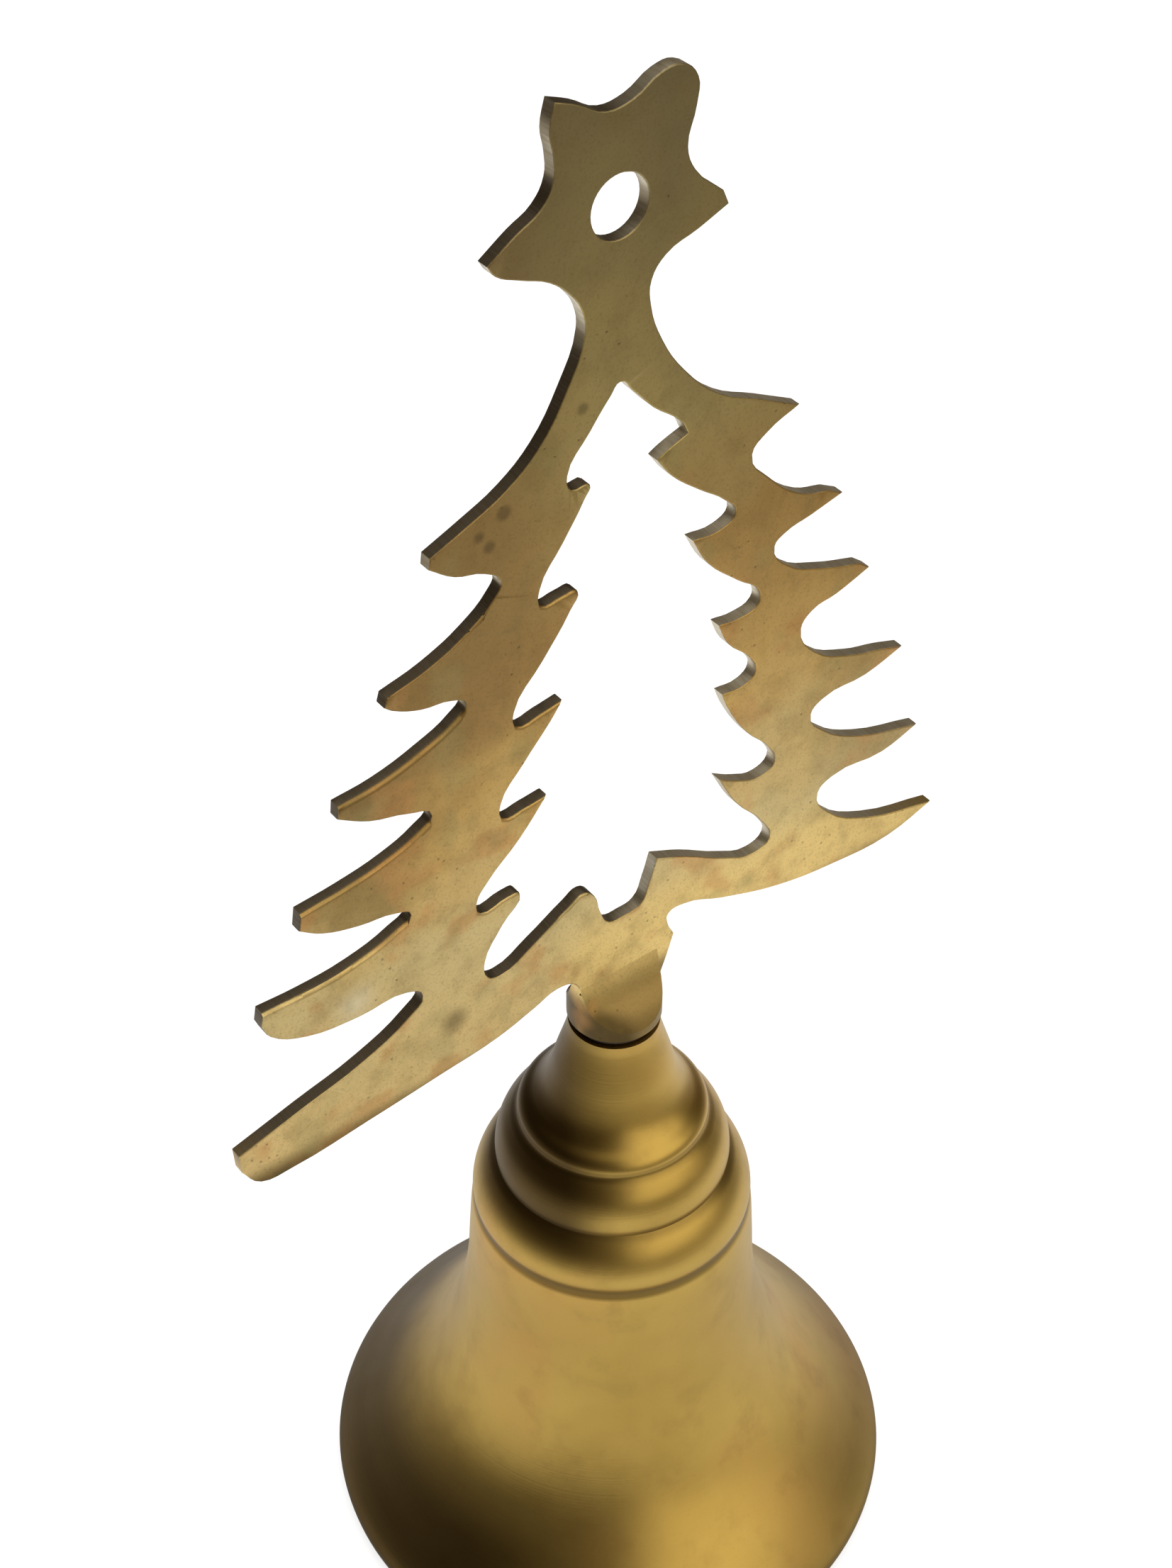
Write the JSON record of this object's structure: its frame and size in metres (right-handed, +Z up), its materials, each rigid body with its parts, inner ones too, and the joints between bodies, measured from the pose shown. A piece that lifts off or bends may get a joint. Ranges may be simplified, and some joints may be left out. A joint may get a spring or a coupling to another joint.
{
  "type": "hand bell",
  "caption": "Brass hand bell: a flat pierced Christmas-tree handle with a star, bolted to a turned bell with a free-swinging clapper.",
  "frame": {"origin": "centre of the bell's mouth, on the plane that its rim stands on", "axes": "+Z up along the bell's axis, X across the tree's branches, the tree's face towards -Y"},
  "size_m": [0.074, 0.055, 0.1505],
  "materials": {
    "handle_brass": "aged satin brass, olive to orange patina, dark filed edges",
    "bell_brass": "turned and buffed brass, lightly tarnished",
    "inner_brass": "plain brass",
    "hardware_steel": "plain steel wire",
    "seat_leather": "dark oiled leather"
  },
  "bodies": {
    "bell": {"tree_handle": "handle_brass", "bell_body": "bell_brass", "seat_washer": "seat_leather", "crown_washer": "inner_brass", "spring_washer": "hardware_steel", "hex_nut": "inner_brass", "eyebolt": "hardware_steel"},
    "link": {"clapper_link": "hardware_steel"},
    "clapper": {"clapper_rod": "hardware_steel", "clapper_ball": "inner_brass", "clapper_end_nut": "inner_brass"}
  },
  "joints": [
    {"name": "link_swing", "type": "hinge", "parent": "bell", "child": "link", "pos_m": [0, 0, 0.03746], "axis": [1, 0, 0], "range_deg": [-5, 5]},
    {"name": "clapper_swing", "type": "hinge", "parent": "link", "child": "clapper", "pos_m": [0, 0, 0.03246], "axis": [0, 1, 0], "range_deg": [-25, 25]}
  ]
}
